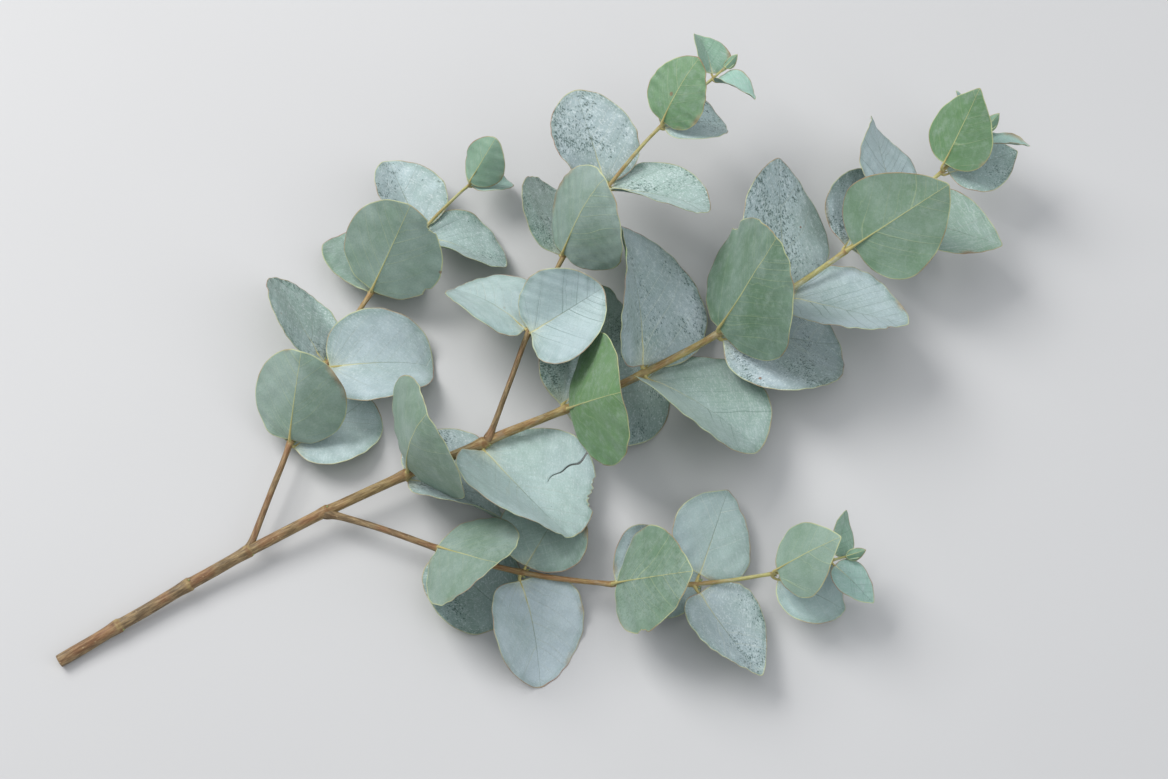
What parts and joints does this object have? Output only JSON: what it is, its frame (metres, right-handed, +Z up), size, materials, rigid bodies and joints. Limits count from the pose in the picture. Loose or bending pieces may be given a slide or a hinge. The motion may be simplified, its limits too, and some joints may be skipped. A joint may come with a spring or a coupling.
{
  "type": "eucalyptus branch",
  "caption": "Cut silver-dollar eucalyptus branch lying down: a woody stem with side shoots, opposite pairs of round to oval blue-grey leaves and folded growing tips.",
  "frame": {"origin": "on the surface the branch lies on, under the middle of its bounding box", "axes": "+X along the branch from the cut end to the main growing tip, +Y to the branch's left seen from the cut end, +Z up from the surface"},
  "size_m": [0.5656, 0.3409, 0.0926],
  "materials": {
    "leaf": "matt waxy blue-grey bloom",
    "stem": "smooth thin bark, brown low down to yellow-green",
    "shoot": "smooth green to reddish young bark",
    "bud": "matt mint green"
  },
  "bodies": {
    "root": {"left_leaf_01_down": "leaf", "left_leaf_01_up": "leaf", "left_leaf_02_left": "leaf", "left_leaf_02_right": "leaf", "left_leaf_03_down": "leaf", "left_leaf_03_up": "leaf", "left_leaf_04_left": "leaf", "left_leaf_04_right": "leaf", "left_leaf_05_down": "leaf", "left_leaf_05_up": "leaf", "left_side_shoot": "shoot", "left_tip_bud": "bud", "main_leaf_01_down": "leaf", "main_leaf_01_up": "leaf", "main_leaf_02_right": "leaf", "main_leaf_03_down": "leaf", "main_leaf_03_up": "leaf", "main_leaf_04_left": "leaf", "main_leaf_04_right": "leaf", "main_leaf_05_down": "leaf", "main_leaf_05_up": "leaf", "main_leaf_06_left": "leaf", "main_leaf_06_right": "leaf", "main_leaf_07_down": "leaf", "main_leaf_07_up": "leaf", "main_leaf_08_left": "leaf", "main_leaf_08_right": "leaf", "main_leaf_09_down": "leaf", "main_leaf_09_up": "leaf", "main_leaf_10_left": "leaf", "main_leaf_10_right": "leaf", "main_stem": "stem", "main_tip_bud": "bud", "right_leaf_01_down": "leaf", "right_leaf_01_up": "leaf", "right_leaf_02_left": "leaf", "right_leaf_02_right": "leaf", "right_leaf_03_down": "leaf", "right_leaf_03_up": "leaf", "right_leaf_04_left": "leaf", "right_leaf_04_right": "leaf", "right_leaf_05_down": "leaf", "right_leaf_05_up": "leaf", "right_leaf_06_left": "leaf", "right_leaf_06_right": "leaf", "right_side_shoot": "shoot", "right_tip_bud": "bud", "upper_leaf_01_left": "leaf", "upper_leaf_01_right": "leaf", "upper_leaf_02_down": "leaf", "upper_leaf_02_up": "leaf", "upper_leaf_03_left": "leaf", "upper_leaf_03_right": "leaf", "upper_leaf_04_down": "leaf", "upper_leaf_04_up": "leaf", "upper_leaf_05_left": "leaf", "upper_leaf_05_right": "leaf", "upper_side_shoot": "shoot", "upper_tip_bud": "bud"}
  },
  "joints": []
}
